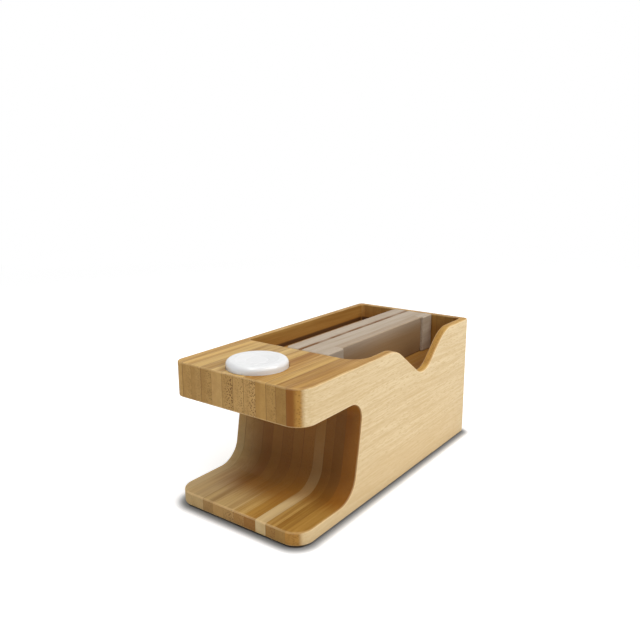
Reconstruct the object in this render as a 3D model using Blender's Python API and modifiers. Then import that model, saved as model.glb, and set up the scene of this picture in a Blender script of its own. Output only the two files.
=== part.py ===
"""Phone and watch stand.

A block glued up from upright bamboo staves, milled to a C at one end for the watch and to a
pocket at the other for the phone. Two loose spacers stand in the pocket behind the phone, a
charging puck lies in a seat on the shelf, and the block stands on four rubber feet.

X runs from the toe under the shelf to the dock's end, Y from the front face to the back and Z
up from the surface that the stand rests on. The origin is at the middle of the footprint.
"""

import math

import bmesh
import bpy
from mathutils import Matrix, Vector

# Block
BODY_LENGTH = 0.159
BODY_WIDTH = 0.074
BODY_HEIGHT = 0.0687
TOE_CORNER_ROUND = 0.009
SHELF_BACK_ROUND = 0.0045
DOCK_CORNER_ROUND = 0.003
EDGE_ROUND = 0.0007

# Gap that the watch band goes through, between the base and the shelf
BASE_THICKNESS = 0.0064
SHELF_THICKNESS = 0.0168
SHELF_SETBACK = 0.0023
WALL_FOOT_REACH = 0.0397
WALL_HEAD_REACH = 0.0476
WALL_FOOT_ROUND = 0.012
WALL_HEAD_ROUND = 0.0085

# Staves, from the front face to the back
STAVE_WIDTH_SHARES = (82, 54, 52, 58, 66, 62, 64, 64, 64, 62, 56, 56)
PALE_STAVE = 4

# Pocket for the phone and its spacers, with a shallow tray behind them
POCKET_START = 0.0497
FRONT_WALL = 0.0042
END_WALL = 0.0027
BACK_WALL = 0.0027
SLOT_DEPTH = 0.0205
TRAY_DEPTH = 0.0102
POCKET_FRONT_ROUND = 0.010
POCKET_CORNER_ROUND = 0.0025

# Notch in the front wall that leaves the foot of the phone open, just off the pocket's middle
NOTCH_OFFSET = 0.002
NOTCH_SHELF_SIDE_WIDTH = 0.0288
NOTCH_DOCK_SIDE_WIDTH = 0.024
NOTCH_DEPTH = 0.0207
NOTCH_FOOT_ROUND = 0.011
NOTCH_SHELF_SIDE_ROUND = 0.018
NOTCH_DOCK_SIDE_ROUND = 0.018

# Spacers
PHONE_GAP = 0.0178
FRONT_SPACER_THICKNESS = 0.0161
REAR_SPACER_THICKNESS = 0.0088
SPACER_GAP = 0.0005
SPACER_CLEARANCE = 0.0003
SPACER_SHELF_SHOULDER = 0.0139
SPACER_DOCK_SHOULDER = 0.0109
SPACER_RECESS_DEPTH = 0.0015
SPACER_EDGE_ROUND = 0.0007

# Passage for the phone's cable, from the slot's floor to the back, with its hole on the first
# glue line
PLUG_HOLE_LENGTH = 0.016
PLUG_HOLE_WIDTH = 0.0068
CHANNEL_WIDTH = 0.006
CHANNEL_HEIGHT = 0.005

# Charging puck, its seat in the shelf and the slot for its cable
PUCK_RADIUS = 0.01395
PUCK_HEIGHT = 0.0074
PUCK_CENTRE = 0.018
PUCK_CLEARANCE = 0.0002
PUCK_SEAT_DEPTH = 0.0038
PUCK_SLOT_WIDTH = 0.005
PUCK_SLOT_REACH = 0.004
SHELL_HEIGHT = 0.0036
SHELL_WALL = 0.0009
SHELL_FLOOR = 0.0008
SHELL_EDGE_ROUND = 0.0008
CABLE_OUTLET_RADIUS = 0.0013
CAP_ROOF = 0.0010
CAP_RIM_INSET = 0.0013
CAP_DISH_DEPTH = 0.0008
CAP_DISH_MARGIN = 0.0012
COIL_INNER_RADIUS = 0.0062
COIL_OUTER_RADIUS = 0.0112
COIL_HEIGHT = 0.0014
MAGNET_RADIUS = 0.0048
MAGNET_HEIGHT = 0.0024

# Feet
FOOT_RADIUS = 0.005
FOOT_THICKNESS = 0.002
FOOT_RECESS = 0.001
FOOT_CLEARANCE = 0.0003
FOOT_EDGE_ROUND = 0.0004
FOOT_INSET_X = 0.014
FOOT_INSET_Y = 0.0125

# How far a cutter runs past what it cuts
OVERRUN = 0.002
# Points of one outline closer than this are one point
SAME_POINT = 0.000001

# Fineness of the curves: degrees for each facet, but no facet that the rounding of the edges
# would swallow, and facets for each turn
ARC_STEP = 11.25
SHORTEST_FACET = 0.001
ROUND_FACETS = 40
FOOT_FACETS = 24
OUTLET_FACETS = 12
EDGE_SEGMENTS = 2
# Edges sharper than this are rounded or shaded as edges, and faces flatter than this are one
# face, in degrees
SHARP_ANGLE = 50.0
FLAT_ANGLE = 0.05

# Places that follow from the sizes above
TOE_X = -BODY_LENGTH / 2
DOCK_X = BODY_LENGTH / 2
FRONT_Y = -BODY_WIDTH / 2
BACK_Y = BODY_WIDTH / 2
FLOOR_Z = FOOT_THICKNESS - FOOT_RECESS
RIM_Z = FLOOR_Z + BODY_HEIGHT
BASE_TOP_Z = FLOOR_Z + BASE_THICKNESS
SHELF_END_X = TOE_X + SHELF_SETBACK
SHELF_UNDER_Z = RIM_Z - SHELF_THICKNESS
POCKET_X = TOE_X + POCKET_START
POCKET_END_X = DOCK_X - END_WALL
SLOT_FRONT_Y = FRONT_Y + FRONT_WALL
TRAY_BACK_Y = BACK_Y - BACK_WALL
FRONT_SPACER_Y = SLOT_FRONT_Y + PHONE_GAP
REAR_SPACER_Y = FRONT_SPACER_Y + FRONT_SPACER_THICKNESS + SPACER_GAP
SLOT_BACK_Y = REAR_SPACER_Y + REAR_SPACER_THICKNESS + SPACER_CLEARANCE
SLOT_FLOOR_Z = RIM_Z - SLOT_DEPTH
TRAY_FLOOR_Z = RIM_Z - TRAY_DEPTH
NOTCH_X = (POCKET_X + POCKET_END_X) / 2 + NOTCH_OFFSET
PUCK_X = TOE_X + PUCK_CENTRE
PUCK_SEAT_Z = RIM_Z - PUCK_SEAT_DEPTH
SEAT_RADIUS = PUCK_RADIUS + PUCK_CLEARANCE


def clear_scene():
    for obj in list(bpy.data.objects):
        bpy.data.objects.remove(obj, do_unlink=True)


def new_collection(name):
    collection = bpy.data.collections.new(name)
    bpy.context.scene.collection.children.link(collection)
    return collection


def new_material(name, colour, roughness, metallic=0.0):
    material = bpy.data.materials.new(name)
    material.use_nodes = True
    shader = material.node_tree.nodes["Principled BSDF"]
    shader.inputs["Base Color"].default_value = (*colour, 1.0)
    shader.inputs["Roughness"].default_value = roughness
    shader.inputs["Metallic"].default_value = metallic
    return material


def add_object(name, mesh, collection, material=None):
    obj = bpy.data.objects.new(name, mesh)
    collection.objects.link(obj)
    if material:
        mesh.materials.clear()
        mesh.materials.append(material)
    return obj


def as_cutter(obj):
    obj.hide_render = True
    obj.display_type = "WIRE"
    return obj


def rounded(corners):
    """Points of a closed outline whose corners (u, v, radius) are turned into arcs."""
    points = []
    count = len(corners)
    for index, (u, v, radius) in enumerate(corners):
        corner = Vector((u, v))
        before = (Vector(corners[index - 1][:2]) - corner).normalized()
        after = (Vector(corners[(index + 1) % count][:2]) - corner).normalized()
        if radius <= 0:
            points.append(corner)
            continue
        half = before.angle(after) / 2
        centre = corner + (before + after).normalized() * (radius / math.sin(half))
        start = corner + before * (radius / math.tan(half)) - centre
        turn = start.angle_signed(corner + after * (radius / math.tan(half)) - centre)
        fine = round(abs(math.degrees(turn)) / ARC_STEP)
        facets = max(2, min(fine, int(abs(turn) * radius / SHORTEST_FACET)))
        for k in range(facets + 1):
            points.append(centre + Matrix.Rotation(-turn * k / facets, 2) @ start)
    # Where two arcs meet with no straight between them, one point serves both
    return [
        point
        for point, before in zip(points, [points[-1], *points])
        if (point - before).length > SAME_POINT
    ]


def tidy(shape):
    """Merges the points and flat faces that a fill or a Boolean splits for no reason."""
    bmesh.ops.remove_doubles(shape, verts=shape.verts, dist=SAME_POINT)
    bmesh.ops.dissolve_limit(
        shape,
        angle_limit=math.radians(FLAT_ANGLE),
        verts=shape.verts,
        edges=shape.edges,
    )


def prism(name, points, low, high, collection, along="Z"):
    """A solid with this flat outline, from low to high along Z, or along Y with (x, z) points."""
    curve = bpy.data.curves.new(name, "CURVE")
    curve.dimensions = "2D"
    curve.fill_mode = "BOTH"
    curve.extrude = (high - low) / 2
    spline = curve.splines.new("POLY")
    spline.points.add(len(points) - 1)
    for place, point in zip(spline.points, points):
        place.co = (point.x, point.y, 0, 1)
    spline.use_cyclic_u = True
    guide = add_object(name + "_outline", curve, collection)
    graph = bpy.context.evaluated_depsgraph_get()
    mesh = bpy.data.meshes.new_from_object(guide.evaluated_get(graph))
    bpy.data.objects.remove(guide, do_unlink=True)
    mesh.name = name
    shape = bmesh.new()
    shape.from_mesh(mesh)
    tidy(shape)
    if along == "Y":
        upright = Matrix.Rotation(math.radians(90), 4, "X")
        bmesh.ops.transform(shape, matrix=upright, verts=shape.verts)
    # Both ends take the given numbers as they are, so that two solids can share a face
    axis = 1 if along == "Y" else 2
    for vert in shape.verts:
        vert.co[axis] = high if vert.co[axis] > 0 else low
    bmesh.ops.recalc_face_normals(shape, faces=shape.faces)
    shape.to_mesh(mesh)
    shape.free()
    return add_object(name, mesh, collection)


def box(name, low, high, collection):
    shape = bmesh.new()
    bmesh.ops.create_cube(shape, size=1)
    # Each corner takes the given numbers as they are, so that two boxes can share a face
    for vert in shape.verts:
        ends = [high[axis] if vert.co[axis] > 0 else low[axis] for axis in range(3)]
        vert.co = ends
    mesh = bpy.data.meshes.new(name)
    shape.to_mesh(mesh)
    shape.free()
    return add_object(name, mesh, collection)


def cylinder(name, x, y, low, high, radius, facets, collection):
    shape = bmesh.new()
    bmesh.ops.create_cone(
        shape,
        cap_ends=True,
        segments=facets,
        radius1=radius,
        radius2=radius,
        depth=high - low,
    )
    bmesh.ops.translate(shape, vec=(x, y, (low + high) / 2), verts=shape.verts)
    mesh = bpy.data.meshes.new(name)
    shape.to_mesh(mesh)
    shape.free()
    return add_object(name, mesh, collection)


def turned(name, profile, facets, collection, material):
    """A solid turned about Z from its (radius, z) profile, which closes itself on the axis or off it."""
    shape = bmesh.new()
    verts = [shape.verts.new((radius, 0, z)) for radius, z in profile]
    for first, second in zip(verts, verts[1:]):
        shape.edges.new((first, second))
    if profile[0][0] > 0:
        shape.edges.new((verts[-1], verts[0]))
    mesh = bpy.data.meshes.new(name)
    shape.to_mesh(mesh)
    shape.free()
    obj = add_object(name, mesh, collection, material)
    screw = obj.modifiers.new("Turn", "SCREW")
    screw.axis = "Z"
    screw.steps = facets
    screw.render_steps = facets
    screw.use_merge_vertices = True
    screw.merge_threshold = SAME_POINT
    return obj


def boolean(obj, other, operation):
    cut = obj.modifiers.new(other.name, "BOOLEAN")
    cut.operation = operation
    cut.object = other
    return cut


def round_edges(obj, width, segments=EDGE_SEGMENTS):
    bevel = obj.modifiers.new("Rounded edges", "BEVEL")
    bevel.width = width
    bevel.segments = segments
    bevel.limit_method = "ANGLE"
    bevel.angle_limit = math.radians(SHARP_ANGLE)
    return bevel


def settle(obj):
    """Applies an object's modifiers, so that the next step starts from a plain mesh."""
    graph = bpy.context.evaluated_depsgraph_get()
    mesh = bpy.data.meshes.new_from_object(obj.evaluated_get(graph))
    shape = bmesh.new()
    shape.from_mesh(mesh)
    tidy(shape)
    shape.to_mesh(mesh)
    shape.free()
    obj.modifiers.clear()
    obj.data = mesh


def plan(low, high, front_left, front_right, back_right, back_left):
    """A rectangle from one (x, y) to another, seen from above, with a radius for each corner."""
    return rounded(
        [
            (low[0], low[1], front_left),
            (high[0], low[1], front_right),
            (high[0], high[1], back_right),
            (low[0], high[1], back_left),
        ]
    )


def milled_block(tools):
    """The outside of the block: two rounded plans joined, cut to the C of the side view."""
    middle_z = (BASE_TOP_Z + SHELF_UNDER_Z) / 2
    toe, dock = TOE_CORNER_ROUND, DOCK_CORNER_ROUND
    lower_plan = plan((TOE_X, FRONT_Y), (DOCK_X, BACK_Y), toe, dock, dock, toe)
    block = prism("milled_block", lower_plan, FLOOR_Z, middle_z, tools)
    upper_plan = plan(
        (SHELF_END_X, FRONT_Y), (DOCK_X, BACK_Y), toe, dock, dock, SHELF_BACK_ROUND
    )
    upper = prism("upper_plan", upper_plan, middle_z, RIM_Z, tools)
    boolean(block, as_cutter(upper), "UNION")
    gap = [
        (TOE_X - OVERRUN, BASE_TOP_Z, 0),
        (TOE_X + WALL_FOOT_REACH, BASE_TOP_Z, WALL_FOOT_ROUND),
        (TOE_X + WALL_HEAD_REACH, SHELF_UNDER_Z, WALL_HEAD_ROUND),
        (TOE_X - OVERRUN, SHELF_UNDER_Z, 0),
    ]
    band_gap = prism(
        "band_gap", rounded(gap), FRONT_Y - OVERRUN, BACK_Y + OVERRUN, tools, "Y"
    )
    boolean(block, as_cutter(band_gap), "DIFFERENCE")
    return as_cutter(block)


def notch_outline():
    """The V of the front wall: its shoulders start level with the rim and run into the sides."""
    top = RIM_Z + OVERRUN
    valley = rounded(
        [
            (NOTCH_X - 2 * NOTCH_SHELF_SIDE_WIDTH, RIM_Z, 0),
            (NOTCH_X - NOTCH_SHELF_SIDE_WIDTH, RIM_Z, NOTCH_SHELF_SIDE_ROUND),
            (NOTCH_X, RIM_Z - NOTCH_DEPTH, NOTCH_FOOT_ROUND),
            (NOTCH_X + NOTCH_DOCK_SIDE_WIDTH, RIM_Z, NOTCH_DOCK_SIDE_ROUND),
            (NOTCH_X + 2 * NOTCH_DOCK_SIDE_WIDTH, RIM_Z, 0),
        ]
    )[1:-1]
    # The outermost facets run on past the rim, so that the cut crosses it and doesn't graze it
    first = 2 * valley[0] - valley[1]
    last = 2 * valley[-1] - valley[-2]
    inner = valley[1:-1]
    return [first, *inner, last, Vector((last.x, top)), Vector((first.x, top))]


def cut_dock(block, tools):
    start = (POCKET_X, SLOT_FRONT_Y)
    rounds = (POCKET_FRONT_ROUND, *[POCKET_CORNER_ROUND] * 3)
    tray = plan(start, (POCKET_END_X, TRAY_BACK_Y), *rounds)
    slot = plan(start, (POCKET_END_X, SLOT_BACK_Y), *rounds)
    pocket = prism("pocket_cut", tray, TRAY_FLOOR_Z, RIM_Z + OVERRUN, tools)
    deeper = prism("slot_cut", slot, SLOT_FLOOR_Z, TRAY_FLOOR_Z + OVERRUN, tools)
    notch = prism(
        "notch_cut",
        notch_outline(),
        FRONT_Y - OVERRUN,
        SLOT_FRONT_Y + OVERRUN,
        tools,
        "Y",
    )
    for cutter in (pocket, deeper, notch):
        boolean(block, as_cutter(cutter), "DIFFERENCE")


def cut_cable_passages(block, tools):
    half_length = PLUG_HOLE_LENGTH / 2
    middle = stave_edges()[1]
    front = middle - PLUG_HOLE_WIDTH / 2
    back = middle + PLUG_HOLE_WIDTH / 2
    rounds = [PLUG_HOLE_WIDTH / 2] * 4
    hole = plan((NOTCH_X - half_length, front), (NOTCH_X + half_length, back), *rounds)
    plug_hole = prism(
        "plug_hole_cut", hole, FLOOR_Z - OVERRUN, SLOT_FLOOR_Z + OVERRUN, tools
    )
    channel = box(
        "channel_cut",
        (NOTCH_X - CHANNEL_WIDTH / 2, middle, FLOOR_Z - OVERRUN),
        (NOTCH_X + CHANNEL_WIDTH / 2, BACK_Y + OVERRUN, FLOOR_Z + CHANNEL_HEIGHT),
        tools,
    )
    for cutter in (plug_hole, channel):
        boolean(block, as_cutter(cutter), "DIFFERENCE")


def cut_puck_seat(block, tools):
    seat = cylinder(
        "seat_cut",
        PUCK_X,
        0,
        PUCK_SEAT_Z,
        RIM_Z + OVERRUN,
        SEAT_RADIUS,
        ROUND_FACETS,
        tools,
    )
    # The slot begins half-way out under the puck, where its cable turns down
    half_width = PUCK_SLOT_WIDTH / 2
    low = (PUCK_X + SEAT_RADIUS / 2, -half_width)
    high = (PUCK_X + SEAT_RADIUS + PUCK_SLOT_REACH, half_width)
    slot = plan(low, high, *[half_width] * 4)
    cable_slot = prism(
        "puck_slot_cut", slot, SHELF_UNDER_Z - OVERRUN, RIM_Z + OVERRUN, tools
    )
    for cutter in (seat, cable_slot):
        boolean(block, as_cutter(cutter), "DIFFERENCE")


def foot_places():
    for x in (TOE_X + FOOT_INSET_X, DOCK_X - FOOT_INSET_X):
        for y in (FRONT_Y + FOOT_INSET_Y, BACK_Y - FOOT_INSET_Y):
            yield x, y


def cut_foot_recesses(block, tools):
    for number, (x, y) in enumerate(foot_places(), 1):
        recess = cylinder(
            f"foot_recess_{number}",
            x,
            y,
            FLOOR_Z - OVERRUN,
            FLOOR_Z + FOOT_RECESS,
            FOOT_RADIUS + FOOT_CLEARANCE,
            FOOT_FACETS,
            tools,
        )
        boolean(block, as_cutter(recess), "DIFFERENCE")


def stave_edges():
    """The Y of each glue line, with the two faces of the block at the ends."""
    total = sum(STAVE_WIDTH_SHARES)
    passed = 0
    edges = [FRONT_Y]
    for share in STAVE_WIDTH_SHARES:
        passed += share
        edges.append(FRONT_Y + BODY_WIDTH * passed / total)
    return edges


def is_corner(edge):
    """Whether this edge stands out and is sharp enough for sandpaper to take it down."""
    if len(edge.link_faces) != 2:
        return False
    return edge.calc_face_angle_signed() > math.radians(SHARP_ANGLE)


def sand_edges(block):
    """Rounds every corner of the block but the hidden step between the slot and the tray."""
    settle(block)
    shape = bmesh.new()
    shape.from_mesh(block.data)
    weights = shape.edges.layers.float.new("bevel_weight_edge")
    for edge in shape.edges:
        heights = [abs(vert.co.z - TRAY_FLOOR_Z) for vert in edge.verts]
        if is_corner(edge) and max(heights) > SAME_POINT:
            edge[weights] = 1
    shape.to_mesh(block.data)
    shape.free()
    bevel = round_edges(block, EDGE_ROUND)
    bevel.limit_method = "WEIGHT"
    bevel.use_clamp_overlap = False


def make_staves(block, parts, tools):
    """Slices the finished block at its glue lines, so that every cut runs on from stave to stave."""
    settle(block)
    bamboo = new_material("bamboo", (0.62, 0.40, 0.19), 0.5)
    pale = new_material("pale_bamboo", (0.72, 0.55, 0.32), 0.5)
    face = new_material("front_bamboo", (0.78, 0.60, 0.36), 0.5)
    edges = stave_edges()
    for number, (low, high) in enumerate(zip(edges, edges[1:]), 1):
        first = number == 1
        last = number == len(STAVE_WIDTH_SHARES)
        slab = box(
            f"stave_slab_{number:02d}",
            (TOE_X - OVERRUN, low - OVERRUN * first, FLOOR_Z - OVERRUN),
            (DOCK_X + OVERRUN, high + OVERRUN * last, RIM_Z + OVERRUN),
            tools,
        )
        colour = face if first else pale if number == PALE_STAVE else bamboo
        stave = add_object(f"stave_{number:02d}", block.data.copy(), parts, colour)
        boolean(stave, as_cutter(slab), "INTERSECT")
        settle(stave)


def make_spacers(parts):
    bamboo = new_material("spacer_bamboo", (0.70, 0.54, 0.38), 0.55)
    left = POCKET_X + SPACER_CLEARANCE
    right = POCKET_END_X - SPACER_CLEARANCE
    front = FRONT_SPACER_Y
    back = front + FRONT_SPACER_THICKNESS
    seat_left = left + SPACER_SHELF_SHOULDER
    seat_right = right - SPACER_DOCK_SHOULDER
    seat = front + SPACER_RECESS_DEPTH
    outline = [
        (left, front, 0),
        (seat_left, front, 0),
        (seat_left, seat, 0),
        (seat_right, seat, 0),
        (seat_right, front, 0),
        (right, front, 0),
        (right, back, 0),
        (left, back, 0),
    ]
    spacer = prism("front_spacer", rounded(outline), SLOT_FLOOR_Z, RIM_Z, parts)
    spacer.data.materials.append(bamboo)
    round_edges(spacer, SPACER_EDGE_ROUND)

    back = REAR_SPACER_Y + REAR_SPACER_THICKNESS
    free_corner = POCKET_CORNER_ROUND + SPACER_CLEARANCE
    outline = plan((left, REAR_SPACER_Y), (right, back), 0, 0, free_corner, free_corner)
    spacer = prism("rear_spacer", outline, SLOT_FLOOR_Z, RIM_Z, parts)
    spacer.data.materials.append(bamboo)
    round_edges(spacer, SPACER_EDGE_ROUND)


def make_puck(parts, tools):
    """A charger of two shells closed over a coil and a magnet, lying on its seat in the shelf."""
    steel = new_material("puck_steel", (0.75, 0.75, 0.76), 0.3, 1.0)
    white = new_material("puck_white", (0.88, 0.88, 0.88), 0.3)
    copper = new_material("coil_copper", (0.80, 0.42, 0.25), 0.35, 1.0)
    magnet = new_material("magnet_nickel", (0.60, 0.60, 0.62), 0.35, 1.0)
    place = Vector((PUCK_X, 0, PUCK_SEAT_Z))

    inside = PUCK_RADIUS - SHELL_WALL
    outlet_height = (SHELL_FLOOR + SHELL_HEIGHT) / 2
    edge = SHELL_EDGE_ROUND
    shell = turned(
        "puck_shell",
        [
            (0, SHELL_FLOOR),
            (inside, SHELL_FLOOR),
            (inside, SHELL_HEIGHT),
            (PUCK_RADIUS, SHELL_HEIGHT),
            (PUCK_RADIUS, edge),
            (PUCK_RADIUS - edge, 0),
            (0, 0),
        ],
        ROUND_FACETS,
        parts,
        steel,
    )
    shell.location = place
    reach = SHELL_WALL / 2 + OVERRUN
    outlet = cylinder(
        "outlet_cut", 0, 0, -reach, reach, CABLE_OUTLET_RADIUS, OUTLET_FACETS, tools
    )
    outlet.location = place + Vector((inside + SHELL_WALL / 2, 0, outlet_height))
    outlet.rotation_euler.y = math.radians(90)
    boolean(shell, as_cutter(outlet), "DIFFERENCE")

    top = PUCK_HEIGHT
    rim = PUCK_RADIUS - CAP_RIM_INSET
    dish = rim - CAP_DISH_MARGIN
    side = SHELL_HEIGHT + (top - SHELL_HEIGHT) / 2
    shoulder = top - CAP_RIM_INSET / 2
    roof = top - CAP_DISH_DEPTH - CAP_ROOF
    cap = turned(
        "puck_cap",
        [
            (0, top - CAP_DISH_DEPTH),
            (dish / 2, top - CAP_DISH_DEPTH * 3 / 4),
            (dish, top),
            (rim, top),
            (rim + CAP_RIM_INSET / 2, shoulder),
            (PUCK_RADIUS, side),
            (PUCK_RADIUS, SHELL_HEIGHT),
            (inside, SHELL_HEIGHT),
            (inside, roof),
            (0, roof),
        ],
        ROUND_FACETS,
        parts,
        white,
    )
    cap.location = place

    coil = turned(
        "puck_coil",
        [
            (COIL_INNER_RADIUS, SHELL_FLOOR + COIL_HEIGHT),
            (COIL_OUTER_RADIUS, SHELL_FLOOR + COIL_HEIGHT),
            (COIL_OUTER_RADIUS, SHELL_FLOOR),
            (COIL_INNER_RADIUS, SHELL_FLOOR),
        ],
        ROUND_FACETS,
        parts,
        copper,
    )
    coil.location = place

    core = turned(
        "puck_magnet",
        [
            (0, SHELL_FLOOR + MAGNET_HEIGHT),
            (MAGNET_RADIUS, SHELL_FLOOR + MAGNET_HEIGHT),
            (MAGNET_RADIUS, SHELL_FLOOR),
            (0, SHELL_FLOOR),
        ],
        ROUND_FACETS,
        parts,
        magnet,
    )
    core.location = place


def make_feet(parts):
    rubber = new_material("foot_rubber", (0.06, 0.06, 0.06), 0.8)
    for number, (x, y) in enumerate(foot_places(), 1):
        foot = cylinder(
            f"foot_{number}", x, y, 0, FOOT_THICKNESS, FOOT_RADIUS, FOOT_FACETS, parts
        )
        foot.data.materials.append(rubber)
        round_edges(foot, FOOT_EDGE_ROUND, 1)


def shade(parts):
    for obj in parts.objects:
        obj.data.shade_smooth()
        obj.data.set_sharp_from_angle(angle=math.radians(SHARP_ANGLE))


def main():
    clear_scene()
    parts = new_collection("phone_and_watch_stand")
    tools = new_collection("cutters")
    block = milled_block(tools)
    cut_dock(block, tools)
    sand_edges(block)
    cut_cable_passages(block, tools)
    cut_puck_seat(block, tools)
    cut_foot_recesses(block, tools)
    make_staves(block, parts, tools)
    make_spacers(parts)
    make_puck(parts, tools)
    make_feet(parts)
    shade(parts)


main()
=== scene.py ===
"""Looks of the phone and watch stand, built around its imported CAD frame.

The block is milled and sliced into bamboo staves again here, with finer curves and sanded edges.
The spacers, the charging puck and the rubber feet are made to the same places, every piece gets
its finish, and a floor, lamps and a camera stand round them at the photograph's angle.
"""

import math

import bmesh
import bpy
from bpy.props import FloatProperty, FloatVectorProperty, IntProperty, PointerProperty
from mathutils import Matrix, Vector


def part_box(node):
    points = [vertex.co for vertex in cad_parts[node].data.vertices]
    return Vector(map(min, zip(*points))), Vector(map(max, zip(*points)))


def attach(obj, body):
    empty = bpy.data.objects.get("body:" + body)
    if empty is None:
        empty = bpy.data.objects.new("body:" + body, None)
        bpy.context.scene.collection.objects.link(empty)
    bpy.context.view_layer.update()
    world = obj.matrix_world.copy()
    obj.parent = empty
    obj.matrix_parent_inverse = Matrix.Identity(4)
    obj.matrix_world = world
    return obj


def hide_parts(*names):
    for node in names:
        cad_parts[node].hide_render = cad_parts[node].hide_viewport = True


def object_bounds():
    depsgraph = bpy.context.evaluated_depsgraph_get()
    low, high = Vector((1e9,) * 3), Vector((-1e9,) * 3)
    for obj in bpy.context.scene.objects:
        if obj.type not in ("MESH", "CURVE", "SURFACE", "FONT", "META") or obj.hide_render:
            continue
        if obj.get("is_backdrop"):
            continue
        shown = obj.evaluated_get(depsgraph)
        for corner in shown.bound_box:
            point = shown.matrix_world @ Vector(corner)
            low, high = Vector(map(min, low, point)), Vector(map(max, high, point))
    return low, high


bl_info = {
    "name": "Phone and Watch Stand",
    "version": (1, 0, 0),
    "blender": (4, 5, 0),
    "location": "View3D > Sidebar > Stand",
    "description": "Builds a bamboo phone and watch stand with its finishes and its studio",
    "category": "Object",
}

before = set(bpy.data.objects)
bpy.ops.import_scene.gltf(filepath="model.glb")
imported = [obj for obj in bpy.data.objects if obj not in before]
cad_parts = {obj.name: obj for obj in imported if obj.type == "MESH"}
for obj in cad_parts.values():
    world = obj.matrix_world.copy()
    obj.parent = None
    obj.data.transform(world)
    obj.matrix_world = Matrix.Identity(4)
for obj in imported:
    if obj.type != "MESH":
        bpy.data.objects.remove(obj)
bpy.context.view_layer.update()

# The frame's own places, which the finer pieces keep
STAVES = [f"stave_{number:02d}" for number in range(1, 13)]
FEET = ["foot_1", "foot_2", "foot_3", "foot_4"]
TOE_X, FRONT_Y, FLOOR_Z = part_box(STAVES[0])[0]
DOCK_X, BACK_Y, RIM_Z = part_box(STAVES[-1])[1]


def round_box(node):
    """The middle of the underside of a round node, its radius and its height."""
    low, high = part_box(node)
    middle = Vector(((low.x + high.x) / 2, (low.y + high.y) / 2, low.z))
    return middle, (high.x - low.x) / 2, high.z - low.z


def length(name, description, default):
    return FloatProperty(
        name=name,
        description=description,
        default=default,
        min=0,
        subtype="DISTANCE",
        unit="LENGTH",
        precision=4,
    )


def power(name, description, default):
    return FloatProperty(
        name=name, description=description, default=default, min=0, unit="POWER"
    )


def colour(name, description, default):
    return FloatVectorProperty(
        name=name,
        description=description,
        default=default,
        min=0,
        max=1,
        size=3,
        subtype="COLOR",
    )


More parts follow.
